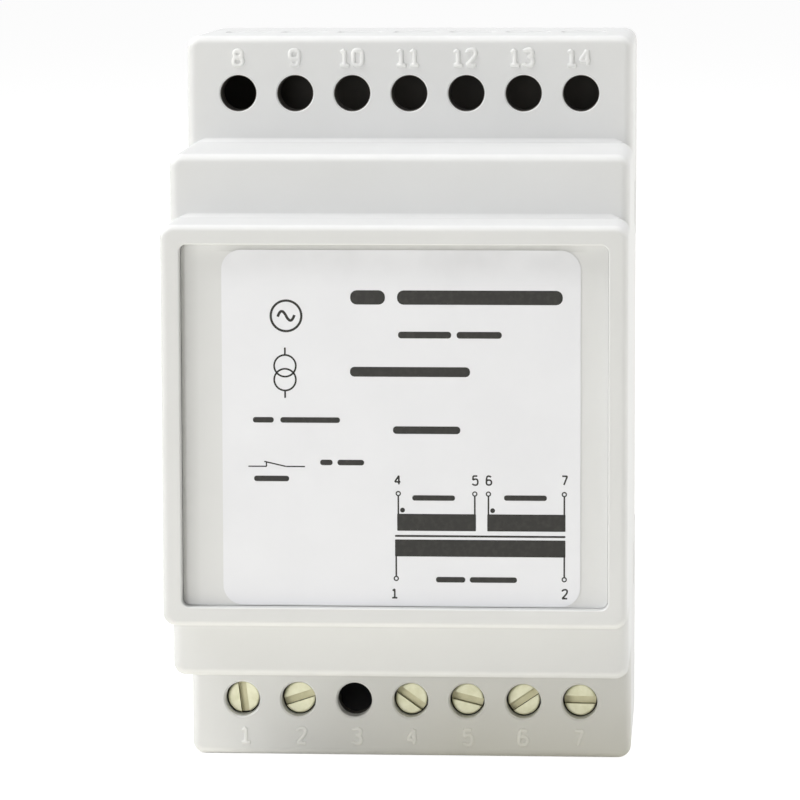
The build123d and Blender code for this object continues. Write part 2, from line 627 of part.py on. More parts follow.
# Bobbin with three flanges
with BuildPart() as bobbin:
    with BuildSketch(Plane.YZ.offset(-BOBBIN_X)):
        with Locations((COIL_Y, 0)):
            Rectangle(TUBE_Y + 2 * BOBBIN_WALL, TUBE_Z + 2 * BOBBIN_WALL)
    extrude(amount=2 * BOBBIN_X)
    for flange_x in (-BOBBIN_X, -BOBBIN_FLANGE / 2, BOBBIN_X - BOBBIN_FLANGE):
        with BuildSketch(Plane.YZ.offset(flange_x)):
            with Locations((COIL_Y, 0)):
                Rectangle(FLANGE_Y, FLANGE_Z)
        extrude(amount=BOBBIN_FLANGE)
    with BuildSketch(Plane.YZ.offset(-BOBBIN_X)):
        with Locations((COIL_Y, 0)):
            Rectangle(TUBE_Y, TUBE_Z)
    extrude(amount=2 * BOBBIN_X, mode=Mode.SUBTRACT)
bobbin.part.label = "bobbin"
export_step(bobbin.part, "parts/bobbin.step")

# Windings, each from one X to another between the bobbin's flanges
windings = {
    "primary_winding": (-CHAMBER_FAR_X, -CHAMBER_NEAR_X),
    "secondary_winding_a": (CHAMBER_NEAR_X, CHAMBER_MID_X - WINDING_GAP),
    "secondary_winding_b": (CHAMBER_MID_X + WINDING_GAP, CHAMBER_FAR_X),
}
for name, (start_x, end_x) in windings.items():
    with BuildPart() as winding:
        with BuildSketch(Plane.YZ.offset(start_x)):
            with Locations((COIL_Y, 0)):
                RectangleRounded(TAPE_Y - 2 * TAPE, TAPE_Z - 2 * TAPE, WINDING_CORNER)
                Rectangle(TUBE_Y + 2 * BOBBIN_WALL, TUBE_Z + 2 * BOBBIN_WALL, mode=Mode.SUBTRACT)
        extrude(amount=end_x - start_x)
    winding.part.label = name
    export_step(winding.part, f"parts/{name}.step")

# Tape over each chamber of the bobbin
tapes = {
    "primary_tape": (-CHAMBER_FAR_X, -CHAMBER_NEAR_X),
    "secondary_tape": (CHAMBER_NEAR_X, CHAMBER_FAR_X),
}
for name, (start_x, end_x) in tapes.items():
    with BuildPart() as tape:
        with BuildSketch(Plane.YZ.offset(start_x)):
            with Locations((COIL_Y, 0)):
                RectangleRounded(TAPE_Y, TAPE_Z, WINDING_CORNER + TAPE)
                RectangleRounded(TAPE_Y - 2 * TAPE, TAPE_Z - 2 * TAPE, WINDING_CORNER, mode=Mode.SUBTRACT)
        extrude(amount=end_x - start_x)
    tape.part.label = name
    export_step(tape.part, f"parts/{name}.step")

# Thermal cut-out on the front of the primary
with BuildPart() as thermal_cutout:
    with BuildSketch(Plane.XZ.offset(TAPE_Y / 2 - COIL_Y)):
        with Locations((-CHAMBER_MID_X, 0)):
            RectangleRounded(CUTOUT_WIDTH, CUTOUT_LENGTH, CUTOUT_EDGE)
    extrude(amount=CUTOUT_HEIGHT)
    chamfer(thermal_cutout.faces().sort_by(Axis.Y)[0].edges(), CUTOUT_EDGE / 2)
thermal_cutout.part.label = "thermal_cutout"
export_step(thermal_cutout.part, "parts/thermal_cutout.step")
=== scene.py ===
"""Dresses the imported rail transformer: moulded numbers, printed label, finishes, light and camera."""
import json
import math

import bpy
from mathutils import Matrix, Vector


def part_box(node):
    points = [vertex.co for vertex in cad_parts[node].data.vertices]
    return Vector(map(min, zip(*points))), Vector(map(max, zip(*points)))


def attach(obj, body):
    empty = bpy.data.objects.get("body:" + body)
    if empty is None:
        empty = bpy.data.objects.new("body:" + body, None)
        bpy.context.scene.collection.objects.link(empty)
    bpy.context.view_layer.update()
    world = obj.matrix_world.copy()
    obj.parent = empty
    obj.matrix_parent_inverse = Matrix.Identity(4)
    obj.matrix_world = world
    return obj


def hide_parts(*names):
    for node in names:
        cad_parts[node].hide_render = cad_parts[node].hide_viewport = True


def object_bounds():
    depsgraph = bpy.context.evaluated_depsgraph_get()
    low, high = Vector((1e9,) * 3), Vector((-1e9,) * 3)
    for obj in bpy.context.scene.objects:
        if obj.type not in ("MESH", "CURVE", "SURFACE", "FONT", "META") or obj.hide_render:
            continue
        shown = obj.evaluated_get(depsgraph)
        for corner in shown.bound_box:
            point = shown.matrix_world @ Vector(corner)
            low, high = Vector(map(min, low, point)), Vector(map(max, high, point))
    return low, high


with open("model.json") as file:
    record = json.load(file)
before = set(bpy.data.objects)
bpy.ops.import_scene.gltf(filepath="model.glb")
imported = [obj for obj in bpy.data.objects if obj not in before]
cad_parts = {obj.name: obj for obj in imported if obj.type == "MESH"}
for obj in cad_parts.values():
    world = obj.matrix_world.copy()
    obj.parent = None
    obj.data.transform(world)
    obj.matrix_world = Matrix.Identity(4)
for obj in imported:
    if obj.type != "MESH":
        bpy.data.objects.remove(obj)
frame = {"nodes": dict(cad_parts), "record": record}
cad_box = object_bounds()
bpy.context.scene.view_settings.view_transform = "Standard"

MM = 0.001
HOUSING = "housing"

# Points that count as one, in metres, and the angle under which faces look smooth
MERGE_WITHIN = 1e-7
SAME_PLACE = 1e-6
SMOOTH_BELOW = math.radians(35)

# Places on the part, in millimetres
TERMINAL_FACE_Y = -25.0
SHOULDER_FACE_Y = -43.5
PARTING_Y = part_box("cover")[1].y / MM
LABEL_FACE_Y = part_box("label")[0].y / MM
HEAD_FACE_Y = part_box("terminal_screw_1")[0].y / MM
HOLES_IN_A_ROW = 7

# Numbers moulded on both terminal faces: first and last place, level, height, stroke and rise
UPPER_NUMBERS = (-20.1, 19.8, 40.2, 2.36, 0.56, 0.24)
LOWER_NUMBERS = (-19.7, 20.0, -40.4, 2.25, 0.46, 0.18)

# The pen that draws numbers: digits' pitch as a share of their height, curve order, steps and sides,
# voxel as a share of the stroke, share and passes of smoothing, share of the faces kept
DIGIT_PITCH = 0.65
PEN_ORDER = 3
PEN_STEPS = 6
PEN_SIDES = 3
PEN_VOXEL = 0.14
PEN_SOFTNESS = 0.5
PEN_PASSES = 4
PEN_KEEP = 0.35

# Strokes of each digit in half heights from its middle, closed where the first point comes again
UPPER_LOOP = [(-0.5, 0.92), (0.5, 0.92), (0.5, 0.08), (-0.5, 0.08), (-0.5, 0.92)]
LOWER_LOOP = [(-0.58, 0.04), (0.58, 0.04), (0.58, -1.0), (-0.58, -1.0), (-0.58, 0.04)]
OVAL = [(-0.58, 1.0), (0.58, 1.0), (0.58, 0.0), (0.58, -1.0), (-0.58, -1.0), (-0.58, 0.0), (-0.58, 1.0)]
NINE_LOOP = [(-0.58, 1.0), (0.56, 1.0), (0.56, -0.12), (-0.58, -0.12), (-0.58, 1.0)]
DIGITS = {
    "0": [OVAL],
    "1": [[(-0.48, 0.62), (0.0, 1.0)], [(0.0, 1.0), (0.0, -1.0)], [(-0.6, -1.0), (0.6, -1.0)]],
    "2": [[(-0.55, 0.62), (-0.46, 1.0), (0.54, 1.06), (0.58, 0.34), (0.2, -0.2), (-0.56, -1.0)],
          [(-0.56, -1.0), (0.58, -1.0)]],
    "3": [[(-0.56, 0.78), (-0.36, 1.02), (0.54, 1.06), (0.54, 0.1), (-0.14, 0.08)],
          [(-0.14, 0.08), (0.6, 0.12), (0.62, -1.04), (-0.38, -1.04), (-0.6, -0.72)]],
    "4": [[(0.3, -1.0), (0.3, 1.0)], [(0.3, 1.0), (-0.62, -0.42)], [(-0.62, -0.42), (0.64, -0.42)]],
    "5": [[(0.52, 1.0), (-0.42, 1.0)], [(-0.42, 1.0), (-0.5, 0.1)],
          [(-0.5, 0.1), (-0.1, 0.34), (0.62, 0.28), (0.62, -1.04), (-0.38, -1.06), (-0.6, -0.72)]],
    "6": [[(-x, -z) for x, z in NINE_LOOP], [(-0.56, -0.44), (-0.56, 0.9), (0.1, 1.06), (0.5, 0.78)]],
    "7": [[(-0.58, 1.0), (0.56, 1.0)], [(0.56, 1.0), (-0.2, -1.0)]],
    "8": [UPPER_LOOP, LOWER_LOOP],
    "9": [NINE_LOOP, [(0.56, 0.44), (0.56, -0.9), (-0.1, -1.06), (-0.5, -0.78)]],
    "~": [[(-0.9, -0.1), (-0.7, 0.5), (-0.25, 0.5), (0.25, -0.5), (0.7, -0.5), (0.9, 0.1)]],
}

# Rounded roots of the housing's steps: face, half height of the wall there
STEP_ROOTS = ((TERMINAL_FACE_Y, 30.323), (SHOULDER_FACE_Y, 22.816))
ROOT_RADIUS = 0.5
ROOT_SUNK = 0.1
ROOT_LENGTH = 50.2
ROOT_TAPER = 1.1
ROOT_PROFILE = 0.12
ROOT_STEPS = 6

# Label film and fields of ink
LABEL_CORNER = 2.2
LABEL_CORNER_STEPS = 12
INK_RISE = 0.015
INK_CORNER = 0.08
INK_CORNER_STEPS = 4
ROUNDEST = 0.45
DISC_SIDES = 40

# Winding diagram: ends and levels of its bars, its leads with rings, and a dot above each secondary
SECONDARIES = ((0.30, 9.15), (10.42, 19.18))
PRIMARY = (0.05, 19.18)
SECONDARY_TOP = -9.86
PRIMARY_TOP = -12.77
WINDING_HEIGHT = 1.92
CORE_LEVEL = -12.37
CORE_LINE = 0.22
LEAD_INSET = 0.13
LEAD_LINE = 0.18
LEAD_IN_BAR = 0.1
LEAD_IN_RING = 0.05
RING_UP = -7.57
RING_DOWN = -17.2
RING = 0.3
RING_LINE = 0.14
DOT = 0.27
DOT_ASIDE = 0.6
DOT_ABOVE = 0.42
DIAGRAM_NUMBER = 1.2
DIAGRAM_STROKE = 0.2
DIAGRAM_NUMBERS = {"4": (0.35, -6.04), "5": (9.05, -6.04), "6": (10.6, -6.04), "7": (19.1, -6.0),
                   "1": (0.0, -18.9), "2": (19.1, -18.85)}

# Switch sign: ends of its leads, their level, and the two lines between them
SWITCH_LEADS = ((-16.45, -14.35), (-12.2, -10.05))
SWITCH_LEVEL = -4.58
SWITCH_LEAD_LINE = 0.14
SWITCH_LINES = ((-12.2, SWITCH_LEVEL, -14.65, -4.02), (-14.4, SWITCH_LEVEL, -14.4, -4.12))
SWITCH_LINE = 0.15

# Transformer sign: middle, its two rings, and how far from the middle its leads start and end
TRANSFORMER_AT = (-12.25, 6.0)
COIL_RING = 1.32
COIL_SHIFT = 0.78
COIL_LINE = 0.2
COIL_LEAD = (2.0, 2.85)

# Alternating current sign: middle, ring and wave
CURRENT_AT = (-12.1, 12.4)
CURRENT_RING = 1.85
CURRENT_LINE = 0.26
WAVE_HEIGHT = 2.4
WAVE_STROKE = 0.32

# Plain bars on the label: left, right, level, height
BLANK_LINES = (
    (-4.9, -1.0, 14.5, 1.6), (0.35, 18.85, 14.5, 1.6),
    (0.45, 6.4, 10.3, 0.75), (7.0, 12.05, 10.3, 0.75),
    (-4.95, 8.5, 6.15, 1.1),
    (-15.9, -13.55, 0.68, 0.62), (-12.8, -6.1, 0.68, 0.62),
    (-0.15, 7.4, -0.4, 0.85),
    (-8.35, -6.95, -4.1, 0.62), (-6.4, -3.4, -4.1, 0.62),
    (-15.8, -11.85, -5.95, 0.62),
    (2.0, 6.8, -8.05, 0.6), (12.3, 17.1, -8.0, 0.6),
    (4.65, 7.95, -17.3, 0.62), (8.45, 13.75, -17.3, 0.62),
)

# Boxes on the housing with a tone of their own, as two corners: painted shade inside, painted shade on the
# walls of the upper holes, and a dark joint line
INSIDE = ((-24.6, -22.7, -41.2), (24.6, -1.0, 41.2))
UPPER_HOLES = ((-24.6, -24.86, 32.0), (24.6, -22.6, 41.2))
SEAM_WIDTH = 0.16
SEAM = ((-30, PARTING_Y - SEAM_WIDTH / 2, -50), (30, PARTING_Y + SEAM_WIDTH / 2, 50))

# Where painted shadow of the rim lies in the front recess and on the label film: boxes, then places of full
# and no shadow
PANEL_FACE = ((-23.9, -51.7, -20.6), (23.9, -51.5, 20.8))
PANEL_TOP = ((-20.5, -51.7, 19.6), (24.0, -51.5, 20.8))
LEFT_SHADOW = (-24.6, -21.9)
TOP_SHADOW = (19.75, 20.95)
TOP_SHADOW_ENDS = ((-16.5, -20.2), (18.0, 21.6))
FILM_SHADOW = (20.0, 15.5)

# Where a painted warm bounce tints the lower terminal face in the shoulder's shade: box, then places of full
# and no tint
LOWER_FACE = ((-26.5, -27.0, -43.0), (26.5, -22.0, -29.0))
WARM_BOUNCE_ACROSS = (6.0, -18.0)
WARM_BOUNCE_DOWN = (-44.0, -28.0)

# Share of slope at which a painted highlight starts on an edge, and at which it covers it all over
HIGHLIGHT_SLOPE = (0.10, 0.42)

# Colours as they are written on the shaders
PLASTIC_LIGHT = (0.728, 0.732, 0.731, 1.0)
PLASTIC_DEEP = (0.706, 0.710, 0.708, 1.0)
# Painted warm bounce on the lower terminal face, in the shoulder's shade
WARM_BOUNCE_LIGHT = (0.728, 0.716, 0.648, 1.0)
WARM_BOUNCE_DEEP = (0.706, 0.694, 0.626, 1.0)
# Painted highlights on the rounded edges
EDGE_HIGHLIGHT_LIGHT = (0.828, 0.832, 0.830, 1.0)
EDGE_HIGHLIGHT_DEEP = (0.808, 0.812, 0.810, 1.0)
SEAM_LIGHT = (0.240, 0.238, 0.228, 1.0)
SEAM_DARK = (0.150, 0.148, 0.140, 1.0)
# Painted shadow of the rim in the front recess
PLASTIC_SHADOWED = (0.505, 0.506, 0.497, 1.0)
PLASTIC_SHADOWED_LIGHT = (0.535, 0.536, 0.527, 1.0)
# Painted sheen on the moulded numbers, then its painted warm bounce on the lower ones
NUMBER_SHEEN = (0.800, 0.802, 0.790, 1.0)
NUMBER_WARM_BOUNCE = (0.810, 0.796, 0.716, 1.0)
# Painted shade inside the housing and on the walls of its upper holes
INSIDE_SHADE_DARK = (0.074, 0.068, 0.060, 1.0)
INSIDE_SHADE_BROWN = (0.100, 0.091, 0.078, 1.0)
FILM_LIGHT = (0.804, 0.810, 0.842, 1.0)
FILM_DEEP = (0.784, 0.790, 0.822, 1.0)
# Painted shadow of the rim on the top of the label film
FILM_SHADOWED = (0.696, 0.702, 0.728, 1.0)
INK_DARK = (0.022, 0.021, 0.018, 1.0)
INK_WORN = (0.034, 0.032, 0.028, 1.0)
BLACK_MOULDING = (0.012, 0.012, 0.012, 1.0)
BLACK_MOULDING_WORN = (0.024, 0.024, 0.023, 1.0)
ZINC_YELLOW = (0.850, 0.840, 0.625, 1.0)
ZINC_YELLOW_DEEP = (0.740, 0.725, 0.500, 1.0)
# Painted shade with dirt in the screws' slots
SLOT_WALL = (0.42, 0.40, 0.34, 1.0)
SLOT_CORNER = (0.20, 0.19, 0.14, 1.0)
SLOT_FLOOR = (0.86, 0.83, 0.74, 1.0)
ZINC_BRIGHT = (0.600, 0.610, 0.620, 1.0)
ZINC_BRIGHT_DEEP = (0.480, 0.490, 0.500, 1.0)
TINNED_BRASS = (0.640, 0.560, 0.330, 1.0)
TINNED_BRASS_DEEP = (0.520, 0.430, 0.220, 1.0)
SHEET_STEEL = (0.075, 0.075, 0.080, 1.0)
SHEET_VARNISH = (0.020, 0.018, 0.016, 1.0)
NYLON = (0.780, 0.760, 0.680, 1.0)
NYLON_DEEP = (0.720, 0.695, 0.600, 1.0)
ENAMEL = (0.420, 0.130, 0.045, 1.0)
ENAMEL_DEEP = (0.150, 0.040, 0.014, 1.0)
TAPE_YELLOW = (0.710, 0.440, 0.030, 1.0)
TAPE_OVERLAP = (0.600, 0.350, 0.020, 1.0)
RED_LEAD = (0.180, 0.012, 0.010, 1.0)
RED_LEAD_DEEP = (0.130, 0.008, 0.007, 1.0)
BLUE_LEAD = (0.010, 0.022, 0.140, 1.0)
BLUE_LEAD_DEEP = (0.007, 0.015, 0.100, 1.0)
LATCH_LIGHT = (0.640, 0.640, 0.610, 1.0)
LATCH_DEEP = (0.605, 0.605, 0.575, 1.0)
WHITE = (1.0, 1.0, 1.0, 1.0)

# Patterns: patches to a millimetre and the part of the noise that they take, shine of plastic and ink,
# detail of the noise, and the pitch of the wave texture at a scale of 1
SHELL_PATCHES = 0.06
# Patches of the painted edge highlights, painted warm bounce, painted recess shadow and painted inside shade
# come next
EDGE_HIGHLIGHT_PATCHES = 0.3
WARM_BOUNCE_PATCHES = 0.1
SHADOW_PATCHES = 0.6
INSIDE_SHADE_PATCHES = 0.2
SEAM_PATCHES = 0.3
NUMBER_PATCHES = 0.3
FILM_PATCHES = 0.12
INK_PATCHES = 1.6
ZINC_PATCHES = 0.9
EVEN_SPREAD = (0.35, 0.65)
INK_SPREAD = (0.45, 0.75)
ZINC_SPREAD = (0.25, 0.6)
LOW_SHINE = 0.3
PATCH_DETAIL = 3.0
FINE_DETAIL = 2.0
ZINC_DETAIL = 4.0
BAND_DETAIL = 1.0
WAVE_PITCH = math.pi / 10

# Gloss as patches to a millimetre, lowest and highest roughness, and grain as bumps to a millimetre and depth
SHELL_GLOSS, SHELL_GRAIN = (0.4, 0.54, 0.64), (3.2, 0.006)
NUMBER_GLOSS = (0.8, 0.38, 0.5)
FILM_GLOSS, FILM_GRAIN = (0.8, 0.36, 0.46), (5.0, 0.002)
INK_GLOSS = (1.2, 0.45, 0.6)
ZINC_GLOSS, ZINC_GRAIN = (1.5, 0.4, 0.55), (4.0, 0.008)
ZINC_METAL = 0.2

# Painted shade with dirt in the screws' slots: depth of a slot, then the colour at shares of that depth
SLOT_DEPTH = 1.0
SLOT_SHADE_AND_DIRT = ((0.04, WHITE), (0.18, SLOT_WALL), (0.86, SLOT_CORNER), (0.89, SLOT_FLOOR))

# Finishes in soft patches: name, metal, patches to a millimetre, two colours, gloss, grain
MOTTLED = {
    "insulator": ("insulator_black", 0.0, 0.5, BLACK_MOULDING, BLACK_MOULDING_WORN,
                  (0.6, 0.42, 0.58), (3.0, 0.005)),
    "latch": ("latch_grey", 0.0, 0.1, LATCH_DEEP, LATCH_LIGHT, (0.5, 0.4, 0.5), (2.6, 0.006)),
    "clamp": ("clamp_bright_zinc", 1.0, 0.8, ZINC_BRIGHT_DEEP, ZINC_BRIGHT, (1.2, 0.3, 0.46), (3.5, 0.005)),
    "bobbin": ("bobbin_nylon", 0.0, 0.15, NYLON_DEEP, NYLON, (0.4, 0.36, 0.48), (2.0, 0.004)),
    "primary_lead": ("lead_red", 0.0, 0.6, RED_LEAD_DEEP, RED_LEAD, (0.8, 0.3, 0.42), (2.5, 0.004)),
    "secondary_lead": ("lead_blue", 0.0, 0.6, BLUE_LEAD_DEEP, BLUE_LEAD, (0.8, 0.3, 0.42), (2.5, 0.004)),
}

# Finishes in stripes, such as rolled strip, sheet edges, turns of wire and laps of tape:
# name, metal, direction, pitch, two colours, wander, gloss, depth
BANDED = {
    "contact": ("contact_tinned_brass", 1.0, "X", 0.35, TINNED_BRASS_DEEP, TINNED_BRASS, 2.0,
                (1.0, 0.28, 0.42), 0.003),
    "core": ("core_sheet_steel", 0.7, "Y", 0.5, SHEET_VARNISH, SHEET_STEEL, 0.6, (0.5, 0.35, 0.55), 0.03),
    "copper": ("winding_enamelled_copper", 0.85, "X", 0.4, ENAMEL_DEEP, ENAMEL, 0.4, (0.6, 0.2, 0.34), 0.1),
    "tape": ("tape_yellow_polyester", 0.0, "X", 4.0, TAPE_OVERLAP, TAPE_YELLOW, 0.3, (0.5, 0.15, 0.28), 0.02),
}

# Colour sockets of the Mix node, which share their names with others
MIX_FIRST, MIX_SECOND, MIX_RESULT = 6, 7, 2

# Stage, lamps (place, size, watts) and camera, in metres
FLOOR_SIZE = 24.0
FLOOR_SHOWN = (0.50, 0.50, 0.50, 1.0)
FLOOR_BOUNCE = (0.925, 0.905, 0.825, 1.0)
FLOOR_LIFT = 0.84
SKY_STRENGTH = 0.255
LAMPS = {
    "key_upper_left": ((-0.54, -0.10, 0.86), 0.7, 10.2),
    "low_front": ((-0.35, -0.9, 0.03), 0.25, 3.1),
    "right_panel": ((0.95, 0.2, 0.25), 0.6, 5.6),
}
LAMP_AIM = (0.0, -0.024, 0.0)
CAMERA_PLACE = (0.03434, -0.54211, 0.05954)
CAMERA_TURN = (83.4373, 0.1588, 3.9115)
CAMERA_LENS = 199.01


# Modelling helpers
def deselect():
    """Leaves nothing selected before the next piece is modelled."""
    if bpy.context.object and bpy.context.object.mode != "OBJECT":
        bpy.ops.object.mode_set(mode="OBJECT")
    bpy.ops.object.select_all(action="DESELECT")


def select_only(piece):
    """Makes a piece the one that the next operators act on."""
    deselect()
    piece.select_set(True)
    bpy.context.view_layer.objects.active = piece


def settle(piece):
    """Puts a piece's place into its mesh, merges its doubles and turns its faces outwards."""
    select_only(piece)
    bpy.ops.object.transform_apply(location=True, rotation=True, scale=True)
    bpy.ops.object.mode_set(mode="EDIT")
    bpy.ops.mesh.select_all(action="SELECT")
    bpy.ops.mesh.remove_doubles(threshold=MERGE_WITHIN)
    bpy.ops.mesh.normals_make_consistent(inside=False)
    bpy.ops.object.mode_set(mode="OBJECT")
    return piece


def join(pieces, name):
    """Makes one named piece of one or more."""
    deselect()
    for piece in pieces:
        piece.select_set(True)
    bpy.context.view_layer.objects.active = pieces[0]
    if len(pieces) > 1:
        bpy.ops.object.join()
    joined = bpy.context.object
    joined.name = name
    joined.data.name = name
    return joined


def block(middle, size):
    """A cuboid in metres with its place and size in its mesh, ready for edit mode."""
    deselect()
    bpy.ops.mesh.primitive_cube_add(size=1, location=middle, scale=size)
    piece = bpy.context.object
    bpy.ops.object.transform_apply(location=True, rotation=True, scale=True)
    return piece


def pick_edges(piece, wanted):
    """Goes into edit mode with only those edges selected whose two ends are wanted."""
    bpy.ops.object.mode_set(mode="EDIT")
    bpy.ops.mesh.select_mode(type="EDGE")
    bpy.ops.mesh.select_all(action="DESELECT")
    bpy.ops.object.mode_set(mode="OBJECT")
    for edge in piece.data.edges:
        edge.select = wanted(*[piece.data.vertices[corner].co for corner in edge.vertices])
    bpy.ops.object.mode_set(mode="EDIT")


def front_to_back(first, second):
    """Whether an edge between two points runs straight from the front to the back."""
    return abs(first.x - second.x) < MERGE_WITHIN and abs(first.z - second.z) < MERGE_WITHIN


def round_corners(piece, radius, steps):
    """Rounds the edges of a plate that run from its front to its back."""
    pick_edges(piece, front_to_back)
    bpy.ops.mesh.bevel(offset=radius * MM, segments=steps)
    bpy.ops.object.mode_set(mode="OBJECT")


def pen_line(points, closed, stroke):
    """A round stroke that curves along these points, or runs straight between two."""
    curve = bpy.data.curves.new("pen_line", "CURVE")
    curve.dimensions = "3D"
    spline = curve.splines.new("NURBS" if len(points) > 2 else "POLY")
    spline.points.add(len(points) - 1)
    for point, (x, z) in zip(spline.points, points):
        point.co = (x, 0, z, 1)
    if len(points) > 2:
        spline.order_u = PEN_ORDER
        spline.resolution_u = PEN_STEPS
        spline.use_endpoint_u = not closed
        spline.use_cyclic_u = closed
    curve.bevel_depth = stroke / 2
    curve.bevel_resolution = PEN_SIDES
    curve.use_fill_caps = True
    line = bpy.data.objects.new("pen_line", curve)
    bpy.context.collection.objects.link(line)
    return line


def lettering(text, height, stroke, rise, x, y, z):
    """Numbers drawn with a round pen, with their middle at x and z, that rise from the face at y."""
    strokes = []
    reach = (height - stroke) / 2
    for place, digit in enumerate(text):
        shift = (place - (len(text) - 1) / 2) * DIGIT_PITCH * height
        for points in DIGITS[digit]:
            closed = points[0] == points[-1]
            drawn = points[:-1] if closed else points
            strokes.append(pen_line([(shift + px * reach, pz * reach) for px, pz in drawn], closed, stroke))
    deselect()
    for line in strokes:
        line.select_set(True)
    bpy.context.view_layer.objects.active = strokes[0]
    bpy.ops.object.convert(target="MESH")
    number = join(strokes, "number")
    fused = number.modifiers.new("fuse", "REMESH")
    fused.mode = "VOXEL"
    fused.voxel_size = stroke * PEN_VOXEL
    soft = number.modifiers.new("soften", "SMOOTH")
    soft.factor = PEN_SOFTNESS
    soft.iterations = PEN_PASSES
    thin = number.modifiers.new("thin", "DECIMATE")
    thin.ratio = PEN_KEEP
    for modifier in ("fuse", "soften", "thin"):
        bpy.ops.object.modifier_apply(modifier=modifier)
    number.scale = (MM, 2 * rise / stroke * MM, MM)
    number.location = (x * MM, y * MM, z * MM)
    return settle(number)


def plate(x0, x1, z0, z1, corner=INK_CORNER):
    """A thin field of ink on the label with rounded corners."""
    middle = ((x0 + x1) / 2 * MM, (LABEL_FACE_Y - INK_RISE / 2) * MM, (z0 + z1) / 2 * MM)
    piece = block(middle, ((x1 - x0) * MM, INK_RISE * MM, (z1 - z0) * MM))
    round_corners(piece, min(corner, ROUNDEST * (x1 - x0), ROUNDEST * (z1 - z0)), INK_CORNER_STEPS)
    return settle(piece)


def upright_plate(x, z0, z1, width):
    """An upright line of ink."""
    return plate(x - width / 2, x + width / 2, z0, z1)


def level_plate(x0, x1, z, width):
    """A level line of ink."""
    return plate(x0, x1, z - width / 2, z + width / 2)


def slanted_plate(x0, z0, x1, z1, width):
    """A line of ink between two points."""
    length = math.hypot(x1 - x0, z1 - z0)
    piece = level_plate(-length / 2, length / 2, 0, width)
    piece.rotation_euler = (0, -math.atan2(z1 - z0, x1 - x0), 0)
    piece.location = ((x0 + x1) / 2 * MM, 0, (z0 + z1) / 2 * MM)
    return settle(piece)


def disc(x, z, radius, line=0.0):
    """A round spot of ink, or a ring when it has a line width."""
    deselect()
    front = (x * MM, (LABEL_FACE_Y - INK_RISE) * MM, z * MM)
    bpy.ops.mesh.primitive_circle_add(vertices=DISC_SIDES, radius=radius * MM, fill_type="NGON",
                                      location=front, rotation=(math.radians(90), 0, 0))
    piece = bpy.context.object
    bpy.ops.object.transform_apply(location=True, rotation=True, scale=True)
    bpy.ops.object.mode_set(mode="EDIT")
    bpy.ops.mesh.select_all(action="SELECT")
    if line:
        bpy.ops.mesh.inset(thickness=line * MM, depth=0)
        bpy.ops.mesh.delete(type="FACE")
        bpy.ops.mesh.select_all(action="SELECT")
    bpy.ops.mesh.extrude_region_move(TRANSFORM_OT_translate={"value": (0, INK_RISE * MM, 0)})
    bpy.ops.object.mode_set(mode="OBJECT")
    return settle(piece)


# Pieces
def moulded_numbers():
    """Positions 1 to 14, raised on the two terminal faces beside their holes."""
    numbers = []
    for position in range(2 * HOLES_IN_A_ROW):
        row = UPPER_NUMBERS if position >= HOLES_IN_A_ROW else LOWER_NUMBERS
        first, last, z, height, stroke, rise = row
        x = first + position % HOLES_IN_A_ROW * (last - first) / (HOLES_IN_A_ROW - 1)
        number = lettering(str(position + 1), height, stroke, rise, x, TERMINAL_FACE_Y, z)
        numbers.append(join([number], f"moulded_number_{position + 1}"))
    return numbers


def step_root(name, face_y, wall_z):
    """The rounded root of a step, a hollow strip between a level's face and the next level's wall."""
    up = math.copysign(1, wall_z)
    y = (face_y + (ROOT_SUNK - ROOT_RADIUS) / 2) * MM
    z = (wall_z + up * (ROOT_RADIUS - ROOT_SUNK) / 2) * MM
    size = (ROOT_RADIUS + ROOT_SUNK) * MM
    strip = block((0, y, z), (ROOT_LENGTH * MM, size, size))
    pick_edges(strip, lambda *ends: all(end.y < y and (end.z - z) * up > 0 for end in ends))
    bpy.ops.mesh.bevel(offset=ROOT_RADIUS * MM, segments=ROOT_STEPS, profile=ROOT_PROFILE)
    taper = (ROOT_LENGTH / 2 - ROOT_TAPER) * MM
    for cut in (-taper, taper):
        bpy.ops.mesh.select_all(action="SELECT")
        bpy.ops.mesh.bisect(plane_co=(cut, 0, 0), plane_no=(1, 0, 0))
    bpy.ops.object.mode_set(mode="OBJECT")
    for corner in strip.data.vertices:
        if abs(corner.co.x) > taper + SAME_PLACE:
            corner.co.y = max(corner.co.y, face_y * MM)
            corner.co.z = up * min(up * corner.co.z, up * wall_z * MM)
    return join([settle(strip)], name)


def step_roots():
    """The roots of both steps at both ends."""
    roots = []
    for number, (face_y, wall_z) in enumerate(STEP_ROOTS, 1):
        roots.append(step_root(f"step_root_upper_{number}", face_y, wall_z))
        roots.append(step_root(f"step_root_lower_{number}", face_y, -wall_z))
    return roots


def label_film():
    """The label's film, a thin sheet with rounded corners."""
    low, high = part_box("label")
    film = block((low + high) / 2, high - low)
    round_corners(film, LABEL_CORNER, LABEL_CORNER_STEPS)
    return join([settle(film)], "label_film")


def ringed_leads(bar, bar_end, ring_z):
    """A lead at each end of a winding's bar, from its edge at bar_end to a ring."""
    ink = []
    away = math.copysign(1, ring_z - bar_end)
    low, high = sorted((bar_end - away * LEAD_IN_BAR, ring_z - away * (RING - LEAD_IN_RING)))
    for x in (bar[0] + LEAD_INSET, bar[1] - LEAD_INSET):
        ink.append(upright_plate(x, low, high, LEAD_LINE))
        ink.append(disc(x, ring_z, RING, RING_LINE))
    return ink


